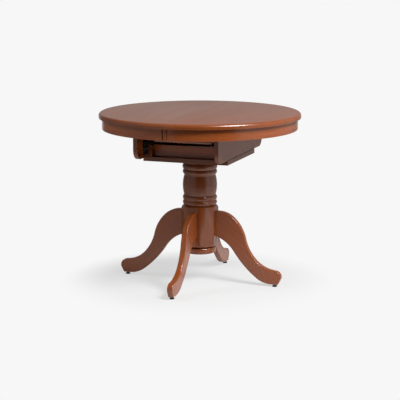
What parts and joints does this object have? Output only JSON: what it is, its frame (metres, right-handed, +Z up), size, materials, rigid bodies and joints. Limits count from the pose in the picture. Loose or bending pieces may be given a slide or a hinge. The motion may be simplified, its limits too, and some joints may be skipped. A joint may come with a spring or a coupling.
{
  "type": "round extending pedestal table",
  "caption": "Round pedestal dining table in red-brown wood: two half tops draw apart on slides over a box that keeps a folded leaf; turned column on S-curved legs with screw glides.",
  "frame": {"origin": "on the floor, on the axis of the column", "axes": "+Z up, X the way the half tops slide apart, Y along the seam of the top, -Y towards the viewer of the picture"},
  "size_m": [0.8998, 0.9, 0.77],
  "materials": {
    "top_wood": "satin lacquer over a red-brown stain",
    "apron_wood": "satin lacquer over a red-brown stain",
    "turned_wood": "glossy lacquer over a red-brown stain",
    "leg_wood": "satin lacquer over a red-brown stain",
    "box_wood": "satin lacquer over a red-brown stain",
    "plain_wood": "planed, unstained",
    "dowel_wood": "turned, unstained",
    "plated_steel": "zinc plated",
    "screw_steel": "zinc plated",
    "black_plastic": "moulded"
  },
  "bodies": {
    "base": {"column": "turned_wood", "plate_screws": "screw_steel", "leg_right": "leg_wood", "leg_rear": "leg_wood", "leg_left": "leg_wood", "leg_front": "leg_wood", "leg_bolts": "screw_steel", "leg_washers": "screw_steel", "leg_nuts": "screw_steel", "glide_sleeves": "screw_steel", "base_plate": "box_wood", "rail_right": "box_wood", "rail_left": "box_wood", "panel_front": "box_wood", "panel_rear": "box_wood", "slide_bar_front": "plain_wood", "slide_bar_rear": "plain_wood", "corner_blocks": "plain_wood", "leaf_brackets": "plated_steel", "bracket_screws": "screw_steel", "box_screws": "screw_steel", "slide_bar_screws": "screw_steel", "leaf_lower": "top_wood", "leaf_pins_lower": "dowel_wood", "hinge_plates_lower": "plated_steel", "hinge_screws_lower": "screw_steel", "hinge_pins": "plated_steel"},
    "half_right": {"top_right": "top_wood", "apron_right": "apron_wood", "apron_beads_right": "apron_wood", "apron_blocks_right": "plain_wood", "runner_front_right": "plain_wood", "runner_rear_right": "plain_wood", "runner_screws_right": "screw_steel", "seam_pins": "dowel_wood"},
    "half_left": {"top_left": "top_wood", "apron_left": "apron_wood", "apron_beads_left": "apron_wood", "apron_blocks_left": "plain_wood", "runner_rear_left": "plain_wood", "runner_front_left": "plain_wood", "runner_screws_left": "screw_steel"},
    "leaf_flap": {"leaf_upper": "top_wood", "leaf_pins_upper": "dowel_wood", "hinge_plates_upper": "plated_steel", "hinge_screws_upper": "screw_steel"},
    "foot_right": {"glide_right": "black_plastic"},
    "foot_rear": {"glide_rear": "black_plastic"},
    "foot_left": {"glide_left": "black_plastic"},
    "foot_front": {"glide_front": "black_plastic"}
  },
  "joints": [
    {"name": "slide_right", "type": "slide", "parent": "base", "child": "half_right", "axis": [1, 0, 0], "range_m": [0, 0.15]},
    {"name": "slide_left", "type": "slide", "parent": "base", "child": "half_left", "axis": [-1, 0, 0], "range_m": [0, 0.15]},
    {"name": "leaf_fold", "type": "hinge", "parent": "base", "child": "leaf_flap", "pos_m": [0, 0.225, 0.682], "axis": [-1, 0, 0], "range_deg": [0, 4.5]},
    {"name": "level_right", "type": "slide", "parent": "base", "child": "foot_right", "axis": [0, 0, -1], "range_m": [0, 0.008]},
    {"name": "level_rear", "type": "slide", "parent": "base", "child": "foot_rear", "axis": [0, 0, -1], "range_m": [0, 0.008]},
    {"name": "level_left", "type": "slide", "parent": "base", "child": "foot_left", "axis": [0, 0, -1], "range_m": [0, 0.008]},
    {"name": "level_front", "type": "slide", "parent": "base", "child": "foot_front", "axis": [0, 0, -1], "range_m": [0, 0.008]}
  ]
}
